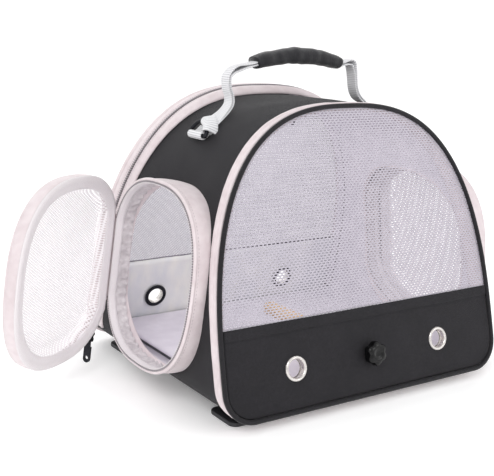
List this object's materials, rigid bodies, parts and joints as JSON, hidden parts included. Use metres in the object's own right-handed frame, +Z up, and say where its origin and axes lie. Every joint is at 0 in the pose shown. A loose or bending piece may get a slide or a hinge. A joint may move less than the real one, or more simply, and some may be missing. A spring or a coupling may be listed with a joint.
{
  "type": "bird travel carrier",
  "caption": "Arched soft-sided carrier for a small bird, with net panels, zipped oval side doors, a zipped rear panel, a perch held by a knob and a padded carry handle.",
  "frame": {"origin": "on the floor, under the middle of the base", "axes": "+X to the carrier's right as seen from its front, -Y out of the front panel with the knob, +Z up"},
  "size_m": [0.4649, 0.269, 0.2945],
  "materials": {
    "black_cloth": "plain-woven black polyester with a slight sheen",
    "blush_cloth": "pale pink-white satin-weave cloth",
    "lilac_lining": "smooth grey-lilac lining cloth",
    "silver_cloth": "silvery satin lining",
    "black_net": "fine black window net",
    "white_net": "fine white window net",
    "nickel": "polished nickel eyelets",
    "gunmetal": "dark plated wire and zip metal",
    "zinc": "plain zinc-plated steel",
    "pale_wood": "sanded, unfinished pale wood",
    "board": "stiff dark board",
    "runner_plastic": "moulded black plastic",
    "knob_plastic": "glossy black plastic",
    "webbing": "pale grey ribbed webbing"
  },
  "bodies": {
    "bag": {"gusset_shell": "black_cloth", "gusset_lining": "lilac_lining", "front_trim_strip": "blush_cloth", "front_piping": "black_cloth", "front_mesh": "black_net", "front_lower_band": "black_cloth", "front_band_lining": "silver_cloth", "front_eyelets": "nickel", "perch_stud": "zinc", "perch_dowel": "pale_wood", "floor_board": "board", "floor_pad": "lilac_lining", "front_runner": "runner_plastic", "rear_runner": "runner_plastic", "rear_zip_tape": "blush_cloth", "rear_hinge_tape": "black_cloth", "ceiling_loop": "black_cloth", "left_ring_tab": "webbing", "right_ring_tab": "webbing", "left_collar": "blush_cloth", "left_collar_tape": "blush_cloth", "left_collar_ruffle": "lilac_lining", "left_hinge_fold": "blush_cloth", "right_collar": "blush_cloth", "right_collar_tape": "blush_cloth", "right_collar_ruffle": "lilac_lining", "right_hinge_fold": "blush_cloth"},
    "knob": {"front_knob": "knob_plastic"},
    "rear_door": {"rear_piping": "blush_cloth", "rear_mesh": "black_net", "rear_lower_band": "black_cloth", "rear_band_lining": "silver_cloth", "rear_eyelets": "nickel", "rear_door_rim": "blush_cloth", "rear_slider": "gunmetal"},
    "left_door": {"left_door_wall": "blush_cloth", "left_door_tape": "blush_cloth", "left_door_mesh": "white_net", "left_door_binding": "blush_cloth", "left_slider": "gunmetal"},
    "right_door": {"right_door_wall": "blush_cloth", "right_door_tape": "blush_cloth", "right_door_mesh": "white_net", "right_door_binding": "blush_cloth", "right_slider": "gunmetal"},
    "handle": {"handle_webbing": "webbing", "handle_sleeve": "black_cloth", "left_ring_loop": "webbing", "right_ring_loop": "webbing"},
    "left_ring": {"left_d_ring": "gunmetal"},
    "right_ring": {"right_d_ring": "gunmetal"},
    "left_pull": {"left_pull": "gunmetal"},
    "right_pull": {"right_pull": "gunmetal"},
    "rear_pull": {"rear_pull": "gunmetal"}
  },
  "joints": [
    {"name": "left_door_hinge", "type": "hinge", "parent": "bag", "child": "left_door", "pos_m": [-0.159, 0.052, 0.1063], "axis": [-0.1184, 0, -0.993], "range_deg": [-56, 76]},
    {"name": "right_door_hinge", "type": "hinge", "parent": "bag", "child": "right_door", "pos_m": [0.159, 0.052, 0.1063], "axis": [-0.1184, 0, 0.993], "range_deg": [0, 132]},
    {"name": "rear_door_hinge", "type": "hinge", "parent": "bag", "child": "rear_door", "pos_m": [0, 0.131, 0.008], "axis": [-1, 0, 0], "range_deg": [0, 100]},
    {"name": "knob_turn", "type": "hinge", "parent": "bag", "child": "knob", "pos_m": [0, -0.12368, 0.04405], "axis": [0, -0.9744, 0.225], "continuous": true},
    {"name": "handle_swing", "type": "hinge", "parent": "bag", "child": "handle", "pos_m": [0, 0, 0.22054], "axis": [1, 0, 0], "range_deg": [-30, 30]},
    {"name": "left_ring_pivot", "type": "hinge", "parent": "bag", "child": "left_ring", "pos_m": [-0.1035, 0, 0.22054], "axis": [0, 1, 0], "range_deg": [-4, 4]},
    {"name": "right_ring_pivot", "type": "hinge", "parent": "bag", "child": "right_ring", "pos_m": [0.1035, 0, 0.22054], "axis": [0, 1, 0], "range_deg": [-4, 4]},
    {"name": "left_pull_swing", "type": "hinge", "parent": "left_door", "child": "left_pull", "pos_m": [-0.18418, 0.04685, 0.03509], "axis": [-0.5553, 0.829, 0.0662], "range_deg": [-20, 40]},
    {"name": "right_pull_swing", "type": "hinge", "parent": "right_door", "child": "right_pull", "pos_m": [0.17253, 0.03538, 0.03507], "axis": [0.993, 0, 0.1184], "range_deg": [-20, 40]},
    {"name": "rear_pull_swing", "type": "hinge", "parent": "rear_door", "child": "rear_pull", "pos_m": [0.1549, 0.10964, 0.05415], "axis": [0, -0.9744, -0.225], "range_deg": [0, 120]}
  ]
}
